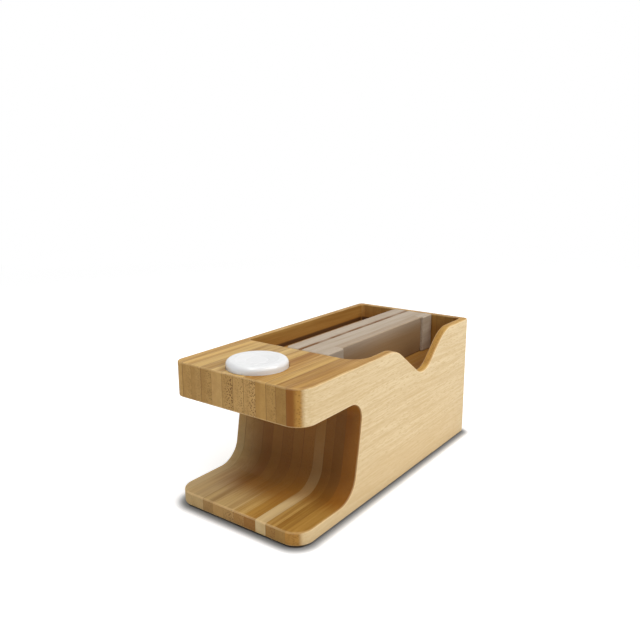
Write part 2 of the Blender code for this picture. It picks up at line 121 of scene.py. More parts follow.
class StandSizes(bpy.types.PropertyGroup):
    """Lengths of the stand's own pieces."""

    toe_round: length("Toe corner", "Front and toe corners seen from above", 0.009)
    shelf_back_round: length("Shelf back corner", "Back corner of the shelf", 0.0045)
    dock_round: length("Dock corner", "Corners at the pocket's end", 0.003)
    edge_round: length("Edge round", "Sanding of every corner", 0.0007)
    base_thickness: length("Base", "Thickness of the base under the shelf", 0.0064)
    shelf_thickness: length("Shelf", "Thickness of the shelf", 0.0168)
    shelf_setback: length("Shelf setback", "How far the shelf ends behind the base", 0.0023)
    wall_foot_reach: length("Wall foot", "From the toe to the foot of the wall", 0.0397)
    wall_head_reach: length("Wall head", "From the toe to the head of the wall", 0.0476)
    wall_foot_round: length("Wall foot round", "Curve from the base up the wall", 0.012)
    wall_head_round: length("Wall head round", "Curve from the wall to the shelf", 0.0085)
    pocket_start: length("Pocket start", "From the toe to the pocket", 0.0497)
    front_wall: length("Front wall", "Thickness of the notched wall", 0.0042)
    end_wall: length("End wall", "Thickness of the wall at the dock's end", 0.0027)
    back_wall: length("Back wall", "Thickness of the wall behind the tray", 0.0027)
    slot_depth: length("Slot depth", "Depth of the part that holds the phone", 0.0205)
    tray_depth: length("Tray depth", "Depth of the tray behind the spacers", 0.0102)
    pocket_front_round: length("Pocket front round", "Corner nearest the shelf", 0.010)
    pocket_round: length("Pocket round", "The other corners of the pocket", 0.0025)
    notch_offset: length("Notch offset", "From the pocket's middle to the notch", 0.002)
    notch_shelf_width: length("Notch shelf side", "From the point of the V", 0.0288)
    notch_dock_width: length("Notch dock side", "From the point of the V", 0.024)
    notch_depth: length("Notch depth", "From the rim to the point of the V", 0.0207)
    notch_foot_round: length("Notch foot", "Curve at the bottom of the V", 0.011)
    notch_shelf_round: length("Notch shelf shoulder", "Curve towards the shelf", 0.018)
    notch_dock_round: length("Notch dock shoulder", "Curve towards the dock's end", 0.018)
    spacer_clearance: length("Spacer clearance", "Room round a spacer", 0.0003)
    shelf_shoulder: length("Shelf-side shoulder", "Spacer end beside the recess", 0.0139)
    dock_shoulder: length("Dock-side shoulder", "Spacer end beside the recess", 0.0109)
    spacer_recess: length("Spacer recess", "Depth of the recess for a phone's back", 0.0015)
    plug_hole_length: length("Plug hole length", "Hole in the slot's floor", 0.016)
    plug_hole_width: length("Plug hole width", "Hole in the slot's floor", 0.0068)
    channel_width: length("Channel width", "Channel for the cable under the block", 0.006)
    channel_height: length("Channel height", "Channel for the cable under the block", 0.005)
    seat_clearance: length("Seat clearance", "Room round the puck", 0.0002)
    seat_depth: length("Seat depth", "How deep the puck sits in the shelf", 0.0038)
    puck_slot_width: length("Puck slot width", "Slot for the puck's cable", 0.005)
    puck_slot_reach: length("Puck slot reach", "Slot beyond the puck's seat", 0.004)
    shell_wall: length("Shell wall", "Thickness of the puck's metal wall", 0.0009)
    shell_floor: length("Shell floor", "Thickness of the puck's metal floor", 0.0008)
    shell_round: length("Shell round", "Lower edge of the puck's shell", 0.0008)
    outlet_radius: length("Outlet radius", "Hole for the puck's cable", 0.0013)
    cap_roof: length("Cap roof", "Thickness of the puck's cap", 0.001)
    cap_round: length("Cap round", "Rim of the puck's cap", 0.0021)
    cap_dish: length("Cap dish", "Depth of the dish in the puck's cap", 0.0008)
    foot_recess: length("Foot recess", "How deep a foot sits in the block", 0.001)
    foot_clearance: length("Foot clearance", "Room round a foot", 0.0003)
    arc_facets: IntProperty(
        name="Arc facets", description="Facets of a full turn of an arc", default=64, min=8
    )
    turn_facets: IntProperty(
        name="Turn facets", description="Facets of a turned piece", default=96, min=12
    )


class StandFinish(bpy.types.PropertyGroup):
    """Colours of the stand's own surfaces."""

    face_pale: colour("Face pale", "Straw of the wide outer faces", (0.80, 0.63, 0.375))
    face_deep: colour("Face deep", "Fibres of the wide outer faces", (0.66, 0.475, 0.24))
    body_pale: colour("Body pale", "Lightest tone along a stave", (0.62, 0.385, 0.115))
    body_deep: colour("Body deep", "Fibres along a stave", (0.35, 0.175, 0.036))
    end_pale: colour("End pale", "Lightest tone of end grain", (0.53, 0.32, 0.105))
    end_deep: colour("End deep", "Fibre ends of end grain", (0.27, 0.135, 0.035))
    bleached: colour("Bleached stave", "Low end of the palest stave", (0.68, 0.52, 0.27))
    spacer_pale: colour("Spacer pale", "Lightest tone of a spacer", (0.47, 0.385, 0.295))
    spacer_deep: colour("Spacer deep", "Fibres of a spacer", (0.37, 0.285, 0.20))
    # The colour of the painted shade in a spacer's recess, and also the fibre ends of its end
    # grain
    spacer_shaded: colour("Spacer shaded", "Wood in a spacer's recess", (0.24, 0.155, 0.085))
    # The glue lines' colour is also the colour of the painted shade along the spacers' edges
    glue: colour("Glue line", "Thin line between two staves", (0.15, 0.06, 0.015))
    cap: colour("Puck cap", "White plastic of the puck", (0.80, 0.80, 0.80))
    steel: colour("Puck shell", "Brushed steel of the puck", (0.62, 0.62, 0.63))
    copper: colour("Coil", "Enamelled copper wire", (0.80, 0.36, 0.17))
    nickel: colour("Magnet", "Nickel plate of the magnet", (0.55, 0.55, 0.57))
    rubber: colour("Feet", "Matt black rubber", (0.022, 0.022, 0.023))


class StandStage(bpy.types.PropertyGroup):
    """Lamps, sky and camera."""

    key_power: power("Key lamp", "Lamp at the front right", 11.0)
    side_power: power("Side lamp", "Lamp past the toe", 6.0)
    top_power: power("Top lamp", "Lamp overhead", 4.5)
    sky: FloatProperty(
        name="Sky", description="Light from all round", default=0.14, min=0
    )
    lens: FloatProperty(
        name="Lens",
        description="Focal length in millimetres",
        default=37.45,
        min=1,
        subtype="DISTANCE_CAMERA",
        unit="CAMERA",
    )


# Shapes

# How far a cutter runs past what it cuts, and how far the notch's shoulders stand over the rim,
# so that its curves cross the rim and don't graze it
OVERRUN = 0.002
GRAZE = 0.00004
# Points closer than this are one point, and points this near to a cut lie on it
SAME_POINT = 0.000001
CUT_TOLERANCE = SAME_POINT / 10
# Faces flatter than this are one face, and edges sharper than this are sanded or stay sharp
FLAT_ANGLE = math.radians(0.05)
SHARP_ANGLE = math.radians(50)
SMOOTH_ANGLE = math.radians(38)
EDGE_SEGMENTS = 3
# How much large faces, rather than small ones, set the shading where they meet, out of 100
FLAT_FACE_WEIGHT = 80
# Stands an outline up that was drawn lying down
UPRIGHT = Matrix.Rotation(math.radians(90), 3, "X")


def round_corners(shape, corners):
    """Makes a flat face of (u, v, radius) corners and rounds each by its own radius."""
    verts = [shape.verts.new((u, v, 0)) for u, v, _ in corners]
    shape.faces.new(verts)
    count = len(corners)
    facets = bpy.context.scene.stand_sizes.arc_facets
    for index, vert in enumerate(verts):
        radius = corners[index][2]
        if not radius:
            continue
        here = Vector(corners[index][:2])
        before = Vector(corners[index - 1][:2]) - here
        after = Vector(corners[(index + 1) % count][:2]) - here
        inside = before.angle(after)
        bmesh.ops.bevel(
            shape,
            geom=[vert],
            offset=radius / math.tan(inside / 2),
            offset_type="OFFSET",
            segments=max(2, round(facets * (math.pi - inside) / math.tau)),
            profile=0.5,
            affect="VERTICES",
            clamp_overlap=False,
            material=-1,
        )
    bmesh.ops.remove_doubles(shape, verts=shape.verts, dist=SAME_POINT)


def new_piece(name, shape, material=None):
    """An object at the origin with this shape, which is used up."""
    mesh = bpy.data.meshes.new(name)
    shape.to_mesh(mesh)
    shape.free()
    piece = bpy.data.objects.new(name, mesh)
    bpy.context.scene.collection.objects.link(piece)
    if material:
        mesh.materials.append(material)
    return piece


def prism(name, corners, low, high, along="Z"):
    """A solid with this rounded outline from low to high, along Z, or along Y with (x, z)."""
    shape = bmesh.new()
    round_corners(shape, corners)
    grown = bmesh.ops.extrude_face_region(shape, geom=shape.faces[:], use_keep_orig=True)
    top = [part for part in grown["geom"] if isinstance(part, bmesh.types.BMVert)]
    bmesh.ops.translate(shape, vec=(0, 0, 1), verts=top)
    if along == "Y":
        bmesh.ops.rotate(shape, matrix=UPRIGHT, verts=shape.verts)
    # Both ends take the given numbers as they are, so that two solids can share a face
    axis = 1 if along == "Y" else 2
    ends = [vert.co[axis] for vert in shape.verts]
    middle = (min(ends) + max(ends)) / 2
    for vert in shape.verts:
        vert.co[axis] = high if vert.co[axis] > middle else low
    bmesh.ops.recalc_face_normals(shape, faces=shape.faces)
    return new_piece(name, shape)


def post(name, x, y, low, high, radius, facets):
    """An upright cylinder for cutting a round hole."""
    shape = bmesh.new()
    bmesh.ops.create_cone(
        shape,
        cap_ends=True,
        segments=facets,
        radius1=radius,
        radius2=radius,
        depth=high - low,
    )
    bmesh.ops.translate(shape, vec=(x, y, (low + high) / 2), verts=shape.verts)
    return new_piece(name, shape)


def plan(low, high, *rounds):
    """The corners of a rectangle seen from above, with a radius for each, from front left on."""
    return [
        (low[0], low[1], rounds[0]),
        (high[0], low[1], rounds[1]),
        (high[0], high[1], rounds[2]),
        (low[0], high[1], rounds[3]),
    ]


def carve(piece, cutters, operation="DIFFERENCE"):
    """Cuts the piece with each of these solids, or joins them to it, and uses them up."""
    for cutter in cutters:
        change = piece.modifiers.new(cutter.name, "BOOLEAN")
        change.operation = operation
        change.object = cutter
    graph = bpy.context.evaluated_depsgraph_get()
    mesh = bpy.data.meshes.new_from_object(piece.evaluated_get(graph))
    piece.modifiers.clear()
    shape = bmesh.new()
    shape.from_mesh(mesh)
    # The Boolean splits points and flat faces for no reason
    bmesh.ops.remove_doubles(shape, verts=shape.verts, dist=SAME_POINT)
    bmesh.ops.dissolve_limit(
        shape, angle_limit=FLAT_ANGLE, verts=shape.verts, edges=shape.edges
    )
    shape.to_mesh(mesh)
    shape.free()
    piece.data = mesh
    for cutter in cutters:
        bpy.data.objects.remove(cutter, do_unlink=True)
    if not mesh.polygons:
        raise RuntimeError(f"nothing is left of {piece.name}")


def is_corner(edge):
    """Whether this edge stands out and is sharp enough for sandpaper to take it down."""
    if len(edge.link_faces) != 2:
        return False
    return edge.calc_face_angle_signed() > SHARP_ANGLE


def sand(piece, width, wanted=is_corner):
    """Rounds the wanted edges and marks the faces of the rounding as worn."""
    shape = bmesh.new()
    shape.from_mesh(piece.data)
    worn = shape.faces.layers.float.new("worn")
    rounded = bmesh.ops.bevel(
        shape,
        geom=[edge for edge in shape.edges if wanted(edge)],
        offset=width,
        offset_type="OFFSET",
        segments=EDGE_SEGMENTS,
        profile=0.5,
        affect="EDGES",
        clamp_overlap=False,
        material=-1,
    )
    for face in rounded["faces"]:
        face[worn] = 1.0
    shape.to_mesh(piece.data)
    shape.free()


def milled_block(sizes):
    """The outside of the block: two rounded plans joined, then cut to the C of the side view."""
    base_top = FLOOR_Z + sizes.base_thickness
    shelf_under = RIM_Z - sizes.shelf_thickness
    middle = (base_top + shelf_under) / 2
    toe, dock = sizes.toe_round, sizes.dock_round
    lower = plan((TOE_X, FRONT_Y), (DOCK_X, BACK_Y), toe, dock, dock, toe)
    upper = plan(
        (TOE_X + sizes.shelf_setback, FRONT_Y),
        (DOCK_X, BACK_Y),
        toe,
        dock,
        dock,
        sizes.shelf_back_round,
    )
    block = prism("milled_block", lower, FLOOR_Z, middle)
    carve(block, [prism("shelf_plan", upper, middle, RIM_Z)], "UNION")
    gap = [
        (TOE_X - OVERRUN, base_top, 0),
        (TOE_X + sizes.wall_foot_reach, base_top, sizes.wall_foot_round),
        (TOE_X + sizes.wall_head_reach, shelf_under, sizes.wall_head_round),
        (TOE_X - OVERRUN, shelf_under, 0),
    ]
    carve(block, [prism("band_gap", gap, FRONT_Y - OVERRUN, BACK_Y + OVERRUN, "Y")])
    return block


def pocket_ends(sizes):
    return TOE_X + sizes.pocket_start, DOCK_X - sizes.end_wall


def notch_middle(sizes):
    start, end = pocket_ends(sizes)
    return (start + end) / 2 + sizes.notch_offset


def cut_dock(block, sizes):
    """Cuts the pocket, the deeper slot for the phone and the notch in the front wall."""
    start, end = pocket_ends(sizes)
    slot_front = FRONT_Y + sizes.front_wall
    tray_back = BACK_Y - sizes.back_wall
    slot_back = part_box("rear_spacer")[1].y + sizes.spacer_clearance
    tray_floor = RIM_Z - sizes.tray_depth
    rounds = (sizes.pocket_front_round, *[sizes.pocket_round] * 3)
    tray = plan((start, slot_front), (end, tray_back), *rounds)
    slot = plan((start, slot_front), (end, slot_back), *rounds)
    middle = notch_middle(sizes)
    shelf_side = sizes.notch_shelf_width
    dock_side = sizes.notch_dock_width
    shoulder = RIM_Z + GRAZE
    notch = [
        (middle - 2 * shelf_side, shoulder, 0),
        (middle - shelf_side, shoulder, sizes.notch_shelf_round),
        (middle, RIM_Z - sizes.notch_depth, sizes.notch_foot_round),
        (middle + dock_side, shoulder, sizes.notch_dock_round),
        (middle + 2 * dock_side, shoulder, 0),
        (middle + 2 * dock_side, RIM_Z + OVERRUN, 0),
        (middle - 2 * shelf_side, RIM_Z + OVERRUN, 0),
    ]
    cutters = [
        prism("tray_cut", tray, tray_floor, RIM_Z + OVERRUN),
        prism("slot_cut", slot, RIM_Z - sizes.slot_depth, tray_floor + OVERRUN),
        prism("notch_cut", notch, FRONT_Y - OVERRUN, slot_front + OVERRUN, "Y"),
    ]
    carve(block, cutters)


def sand_block(block, sizes):
    """Sands every corner of the block but the hidden step between the slot and the tray."""
    step = RIM_Z - sizes.tray_depth

    def shows(edge):
        away = max(abs(vert.co.z - step) for vert in edge.verts)
        return is_corner(edge) and away > SAME_POINT

    sand(block, sizes.edge_round, shows)


def cut_passages(block, sizes):
    """Cuts the ways for both cables, the puck's seat and the recesses of the feet."""
    middle = notch_middle(sizes)
    glue_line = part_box(STAVES[0])[1].y
    half_width = sizes.plug_hole_width / 2
    half_length = sizes.plug_hole_length / 2
    hole = plan(
        (middle - half_length, glue_line - half_width),
        (middle + half_length, glue_line + half_width),
        *[half_width] * 4,
    )
    half_channel = sizes.channel_width / 2
    channel = plan(
        (middle - half_channel, glue_line),
        (middle + half_channel, BACK_Y + OVERRUN),
        *[0] * 4,
    )
    puck, puck_radius, _ = round_box("puck_cap")
    seat_radius = puck_radius + sizes.seat_clearance
    half_slot = sizes.puck_slot_width / 2
    slot = plan(
        (puck.x + seat_radius / 2, -half_slot),
        (puck.x + seat_radius + sizes.puck_slot_reach, half_slot),
        *[half_slot] * 4,
    )
    slot_floor = RIM_Z - sizes.slot_depth
    shelf_under = RIM_Z - sizes.shelf_thickness
    channel_top = FLOOR_Z + sizes.channel_height
    seat_floor = RIM_Z - sizes.seat_depth
    high = RIM_Z + OVERRUN
    cutters = [
        prism("plug_hole_cut", hole, FLOOR_Z - OVERRUN, slot_floor + OVERRUN),
        prism("channel_cut", channel, FLOOR_Z - OVERRUN, channel_top),
        post("seat_cut", puck.x, 0, seat_floor, high, seat_radius, sizes.turn_facets),
        prism("puck_slot_cut", slot, shelf_under - OVERRUN, high),
    ]
    for name in FEET:
        foot, radius, _ = round_box(name)
        radius += sizes.foot_clearance
        ends = (FLOOR_Z - OVERRUN, FLOOR_Z + sizes.foot_recess)
        facets = sizes.turn_facets // 2
        cutters.append(post(name + "_recess", foot.x, foot.y, *ends, radius, facets))
    carve(block, cutters)


def slice_stave(block, name):
    """The part of the block between a stave's two glue lines, closed again at each cut."""
    low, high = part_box(name)
    shape = bmesh.new()
    shape.from_mesh(block.data)
    cuts = []
    if name != STAVES[0]:
        cuts.append((low.y, (0, -1, 0)))
    if name != STAVES[-1]:
        cuts.append((high.y, (0, 1, 0)))
    for place, outward in cuts:
        bmesh.ops.bisect_plane(
            shape,
            geom=shape.verts[:] + shape.edges[:] + shape.faces[:],
            dist=CUT_TOLERANCE,
            plane_co=(0, place, 0),
            plane_no=outward,
            clear_outer=True,
        )
        rim = [edge for edge in shape.edges if edge.is_boundary]
        bmesh.ops.holes_fill(shape, edges=rim, sides=0)
    loose = [edge for edge in shape.edges if not edge.is_manifold]
    if loose:
        raise RuntimeError(f"{name} is left open at {len(loose)} edges")
    bmesh.ops.recalc_face_normals(shape, faces=shape.faces)
    return shape


def spin_profile(shape, corners, facets):
    """Turns a rounded (radius, z) outline about Z into a closed solid."""
    outline = bmesh.new()
    round_corners(outline, corners)
    bmesh.ops.rotate(outline, matrix=UPRIGHT, verts=outline.verts)
    # An edge that lies on the axis would only fold onto itself
    on_axis = [e for e in outline.edges if max(abs(v.co.x) for v in e.verts) < SAME_POINT]
    bmesh.ops.delete(outline, geom=outline.faces[:], context="FACES_ONLY")
    bmesh.ops.delete(outline, geom=on_axis, context="EDGES")
    bmesh.ops.spin(
        outline,
        geom=outline.verts[:] + outline.edges[:],
        axis=(0, 0, 1),
        cent=(0, 0, 0),
        steps=facets,
        angle=math.tau,
        use_merge=True,
    )
    bmesh.ops.remove_doubles(outline, verts=outline.verts, dist=SAME_POINT)
    bmesh.ops.recalc_face_normals(outline, faces=outline.faces)
    mesh = bpy.data.meshes.new("turned")
    outline.to_mesh(mesh)
    outline.free()
    shape.from_mesh(mesh)
    bpy.data.meshes.remove(mesh)


def turned(name, corners, facets, place, material):
    """A piece turned from this outline and set down with its middle at this place."""
    shape = bmesh.new()
    spin_profile(shape, corners, facets)
    bmesh.ops.translate(shape, vec=place, verts=shape.verts)
    return new_piece(name, shape, material)


# Shader nodes


def add_node(tree, kind, sockets=None, **settings):
    """Adds a node, with settings on it and values or links on its input sockets."""
    made = tree.nodes.new(kind)
    for name, value in settings.items():
        setattr(made, name, value)
    for name, value in (sockets or {}).items():
        if isinstance(value, bpy.types.NodeSocket):
            tree.links.new(value, made.inputs[name])
        else:
            made.inputs[name].default_value = value
    return made


def calc(tree, operation, first, second=0.0):
    sockets = {0: first, 1: second}
    return add_node(tree, "ShaderNodeMath", sockets, operation=operation).outputs[0]


def product(tree, first, *others):
    """All of these values multiplied."""
    for other in others:
        first = calc(tree, "MULTIPLY", first, other)
    return first


def vector_calc(tree, operation, first, second=(0.0, 0.0, 0.0)):
    sockets = {0: first, 1: second}
    return add_node(tree, "ShaderNodeVectorMath", sockets, operation=operation).outputs[0]


def length_of(tree, vector):
    return add_node(tree, "ShaderNodeVectorMath", {0: vector}, operation="LENGTH").outputs[1]


def split(tree, vector):
    """The X, Y and Z of a vector."""
    return add_node(tree, "ShaderNodeSeparateXYZ", {0: vector}).outputs


def away_from(tree, place, start):
    """How far a place lies from a starting point, along X, Y and Z."""
    return split(tree, vector_calc(tree, "SUBTRACT", place, start))


def noise(tree, vector, per_metre, detail=2.0, roughness=0.5):
    """A noise with about this many patches to the metre along each axis."""
    sockets = {
        "Vector": vector_calc(tree, "MULTIPLY", vector, per_metre),
        "Scale": 1.0,
        "Detail": detail,
        "Roughness": roughness,
    }
    return add_node(tree, "ShaderNodeTexNoise", sockets).outputs


def blend(tree, first, second, share):
    """A mean of two values in which the second has this share."""
    rest = calc(tree, "MULTIPLY", first, 1 - share)
    return calc(tree, "ADD", rest, calc(tree, "MULTIPLY", second, share))


def ramp(tree, value, low, high, to_low=0.0, to_high=1.0):
    """A smooth step of the value between low and high."""
    sockets = {
        "Value": value,
        "From Min": low,
        "From Max": high,
        "To Min": to_low,
        "To Max": to_high,
    }
    made = add_node(tree, "ShaderNodeMapRange", sockets, interpolation_type="SMOOTHSTEP")
    return made.outputs["Result"]


def mix(tree, factor, first, second, blend_type="MIX"):
    sockets = {0: factor, 6: first, 7: second}
    made = add_node(
        tree, "ShaderNodeMix", sockets, data_type="RGBA", blend_type=blend_type
    )
    return made.outputs[2]


def solid(rgb):
    return (*rgb, 1.0)


def tinted(tree, base, tint):
    return mix(tree, 1.0, base, solid(tint), "MULTIPLY")


def new_group(name, inputs, outputs):
    """A shader node group with these sockets, listed by kind, and its two inside ends."""
    group = bpy.data.node_groups.new(name, "ShaderNodeTree")
    for in_out, kinds in (("INPUT", inputs), ("OUTPUT", outputs)):
        for kind, titles in kinds.items():
            for title in titles:
                group.interface.new_socket(
                    title, in_out=in_out, socket_type="NodeSocket" + kind
                )
    start = group.nodes.new("NodeGroupInput")
    end = group.nodes.new("NodeGroupOutput")
    return group, start.outputs, end.inputs


# Noises: how many patches to the metre along each axis, the detail and the roughness.
# The bamboo's four are its soft bands, its fibres, its dashes and the mottle of its cut ends
SWAY_NOISE = ((12.0, 30.0, 30.0), 1.0)
GRAIN_NOISES = (
    ((7.0, 240.0, 240.0), 2.0, 0.5),
    ((45.0, 1150.0, 1150.0), 2.0, 0.6),
    ((300.0, 2200.0, 2200.0), 1.0, 0.5),
    ((40.0, 260.0, 260.0), 2.0, 0.5),
)
PORES_PER_METRE = (60.0, 1150.0, 1150.0)
GLUE_NOISE = ((60.0, 60.0, 60.0),)
WORN_HIGHLIGHT_NOISE = ((90.0, 90.0, 90.0), 3.0)
SMEAR_NOISE = ((160.0, 160.0, 160.0), 4.0, 0.6)
GRIT_NOISE = ((4200.0, 4200.0, 4200.0),)
RING_NOISE = ((9000.0, 1.0, 9000.0), 3.0)
NOISE_MEAN = 0.5
# How far the grain sways from a straight line, in metres
SWAY = (0.0, 0.004, 0.004)

# Smooth steps: where each starts and ends, and what it gives there if that isn't 0 and 1.
# These read a noise, a direction, a share or another step
SPREAD = (0.3, 0.7)
END_FACING = (0.35, 0.85)
WIDE_FACING = (0.66, 0.86)
SIDE_DASHES = (0.6, 0.75, 0.0, 0.35)
FACE_FIBRES = (0.3, 0.75)
FACE_DASHES = (0.54, 0.68)
PORE_CROWD = (1.0, 0.1, 0.2, 1.0)
PORE_SPOTS = (0.52, 0.24)
END_MOTTLE = (*SPREAD, 0.05, 0.3)
BACK_SIDE = (0.45, 0.7)
POCKET_REACH = (1.0, 0.999)
CORNER_SHADE_EDGE = (0.955, 0.98)
CORNER_SHADE_POCKET = (0.0, 0.2, 0.0, 0.9)
FIBRE_ROUGHNESS = (*SPREAD, 0.46, 0.6)
GLUE_EDGE = (1.0, 0.2)
GLUE_UNEVEN = (0.3, 0.6, 0.5, 1.0)
GLUE_FACING = (1.0, 0.96)
WORN_HIGHLIGHT_UNEVEN = (*SPREAD, 0.35, 1.0)
RING_ROUGHNESS = (*SPREAD, -0.05, 0.08)
# These read heights above the table, in metres
FACE_FOOT_SHADE = (0.034, 0.002, 0.0, 0.6)
DARK_BACK_HEIGHT = (0.02, 0.045)
DARK_FOOT_HEIGHT = (0.014, 0.007)
BLEACHED_SHADE_HEIGHT = (0.042, 0.010)
GLUE_HEIGHT = (0.010, 0.024, 0.4, 1.0)
POCKET_HEIGHT = (RIM_Z - 0.0005, RIM_Z - 0.0085, 0.35, 1.0)
# These read distances from the gap's corner or from the tray's edge, in metres
GAP_INSET = (-0.046, -0.054, 0.0, 0.009)
GAP_DEPTH = (0.0, 0.017)
GAP_END = (0.045, 0.042)
GAP_BACK = (0.0, -0.022)
GAP_TOP = (0.0004, 0.0)
CORNER_SHADE_BACK = (-0.0004, 0.0)
CORNER_SHADE_TOP = (0.0028, 0.0016)
CORNER_SHADE_FLOOR = (-0.0012, -0.0003)

# The fibres' share in the streaks of the narrow sides and of the wide faces
SIDE_FIBRE_SHARE = 0.25
FACE_FIBRE_SHARE = 0.6
# How much of its streaks bleached wood keeps, and of its own tone the wood under the painted
# shade in the pocket and the gap
BLEACHED_STREAK_SHARE = 0.3
HOLLOW_TONE_SHARE = 0.1
# What pores and dark wood make of the end grain's deep tone; the dark wood's tone is also the
# colour of the painted shade
PORE_TINT = (0.60, 0.55, 0.50)
DARK_TINT = (1.0, 0.84, 0.52)
# The dark red brown of the painted shade in the tray's corner, and the light of a sanded edge,
# partly bare sanded wood and partly painted highlight
CORNER_SHADE_COLOR = (0.045, 0.014, 0.004)
SANDED_HIGHLIGHT = (1.0, 0.74, 0.40)
# How much rougher cut ends are, how deep pores are beside fibres of height 1, and how weak the
# wood's shine is
END_ROUGHER = 0.08
PORE_DEPTH = 0.6
WOOD_SPECULAR = 0.25
# Strength of each bump, and its depth in metres
GRAIN_BUMP = (0.3, 0.0002)
RING_BUMP = (0.12, 0.00004)
GRIT_DEPTH = 0.00005


def bamboo_group():
    """Grain that runs along X through the solid: streaks on the sides, dots on the ends."""
    group, given, made = new_group(
        "Bamboo grain",
        {
            "Vector": (
                "Place", "Grain place", "Facing",
                "Pocket middle", "Pocket half", "Tray edge", "Gap corner",
            ),
            "Float": (
                "Outside", "Front", "Back", "Dots", "Dark back", "Dark foot", "Bleached",
                "Pocket shade", "Gap shade",
            ),
            "Color": (
                "Face pale", "Face deep", "Body pale", "Body deep",
                "End pale", "End deep", "Bleached color",
            ),
        },
        {"Color": ("Color",), "Float": ("Roughness", "Height")},
    )
    sway = noise(group, given["Grain place"], *SWAY_NOISE)["Color"]
    sway = vector_calc(group, "MULTIPLY", sway, SWAY)
    grain = vector_calc(group, "ADD", given["Grain place"], sway)
    bands, fibres, dashes, mottle = (
        noise(group, grain, *row)["Fac"] for row in GRAIN_NOISES
    )
    sockets = {"Vector": vector_calc(group, "MULTIPLY", grain, PORES_PER_METRE), "Scale": 1.0}
    cells = add_node(group, "ShaderNodeTexVoronoi", sockets).outputs["Distance"]
    place = split(group, given["Place"])
    facing = split(group, given["Facing"])
    end = ramp(group, calc(group, "ABSOLUTE", facing["X"]), *END_FACING)
    wide = ramp(group, product(group, facing["Y"], given["Outside"]), *WIDE_FACING)

    # Along the grain: soft bands on the narrow sides, fine dashes on the wide outer faces
    streaks = ramp(group, blend(group, bands, fibres, SIDE_FIBRE_SHARE), *SPREAD)
    body = mix(group, streaks, given["Body pale"], given["Body deep"])
    body = mix(group, ramp(group, dashes, *SIDE_DASHES), body, given["Body deep"])
    fine = ramp(group, blend(group, bands, fibres, FACE_FIBRE_SHARE), *FACE_FIBRES)
    face = mix(group, fine, given["Face pale"], given["Face deep"])
    face = mix(group, ramp(group, dashes, *FACE_DASHES), face, given["Face deep"])
    # The wide faces get a painted shade towards the table
    face = mix(group, ramp(group, place["Z"], *FACE_FOOT_SHADE), face, given["Face deep"])

    # Across it the fibres end as dots, which crowd towards the front of a stave
    thickness = calc(group, "SUBTRACT", given["Back"], given["Front"])
    depth = calc(group, "SUBTRACT", place["Y"], given["Front"])
    depth = calc(group, "DIVIDE", depth, thickness)
    crowd = product(group, ramp(group, depth, *PORE_CROWD), given["Dots"])
    spots = product(group, ramp(group, cells, *PORE_SPOTS), crowd)
    cut = mix(group, ramp(group, mottle, *END_MOTTLE), given["End pale"], given["End deep"])
    cut = mix(group, spots, cut, tinted(group, given["End deep"], PORE_TINT))
    back = product(
        group,
        ramp(group, depth, *BACK_SIDE),
        given["Dark back"],
        ramp(group, place["Z"], *DARK_BACK_HEIGHT),
    )
    # The ends darken towards the table, partly each stave's own tone and partly painted shade
    foot = product(group, ramp(group, place["Z"], *DARK_FOOT_HEIGHT), given["Dark foot"])
    dark = tinted(group, given["End deep"], DARK_TINT)
    cut = mix(group, calc(group, "MAXIMUM", back, foot), cut, dark)
    wood = mix(group, wide, mix(group, end, body, cut), face)

    # Some staves are paler at their lower end, and their paleness fades up the wall as painted
    # shade under the shelf
    corner = away_from(group, given["Place"], given["Gap corner"])
    fade = product(
        group,
        ramp(group, place["Z"], *BLEACHED_SHADE_HEIGHT),
        given["Bleached"],
        ramp(group, corner["X"], *GAP_END),
    )
    streaks = product(group, streaks, BLEACHED_STREAK_SHARE)
    wood = mix(group, fade, wood, mix(group, streaks, given["Bleached color"], wood))

    # In the pocket and in the watch gap under the shelf the wood takes a painted shade, darker
    # deeper down
    inside = vector_calc(group, "SUBTRACT", given["Place"], given["Pocket middle"])
    inside = vector_calc(group, "ABSOLUTE", inside)
    inside = split(group, vector_calc(group, "DIVIDE", inside, given["Pocket half"]))
    across = calc(group, "MAXIMUM", inside["X"], inside["Y"])
    pocket = product(
        group,
        ramp(group, place["Z"], *POCKET_HEIGHT),
        given["Pocket shade"],
        ramp(group, calc(group, "MAXIMUM", across, inside["Z"]), *POCKET_REACH),
    )
    inset = ramp(group, corner["Y"], *GAP_INSET)
    gap = product(
        group,
        ramp(group, calc(group, "SUBTRACT", corner["X"], inset), *GAP_DEPTH),
        given["Gap shade"],
        ramp(group, corner["X"], *GAP_END),
        ramp(group, corner["Y"], *GAP_BACK),
        ramp(group, corner["Z"], *GAP_TOP),
        calc(group, "SUBTRACT", 1.0, wide),
    )
    painted_shade_tone = mix(group, HOLLOW_TONE_SHARE, dark, wood)
    wood = mix(group, calc(group, "MAXIMUM", pocket, gap), wood, painted_shade_tone)

    # Painted shade darkens the corner where the tray's walls meet its floor
    tray = away_from(group, given["Place"], given["Tray edge"])
    corner_shade = product(
        group,
        ramp(group, across, *CORNER_SHADE_EDGE),
        ramp(group, tray["Y"], *CORNER_SHADE_BACK),
        ramp(group, tray["Z"], *CORNER_SHADE_TOP),
        ramp(group, tray["Z"], *CORNER_SHADE_FLOOR),
        ramp(group, pocket, *CORNER_SHADE_POCKET),
    )
    group.links.new(mix(group, corner_shade, wood, solid(CORNER_SHADE_COLOR)), made["Color"])

    rough = ramp(group, fibres, *FIBRE_ROUGHNESS)
    rough = calc(group, "ADD", rough, product(group, end, END_ROUGHER))
    group.links.new(rough, made["Roughness"])
    pores = product(group, spots, end, PORE_DEPTH)
    group.links.new(calc(group, "SUBTRACT", fibres, pores), made["Height"])


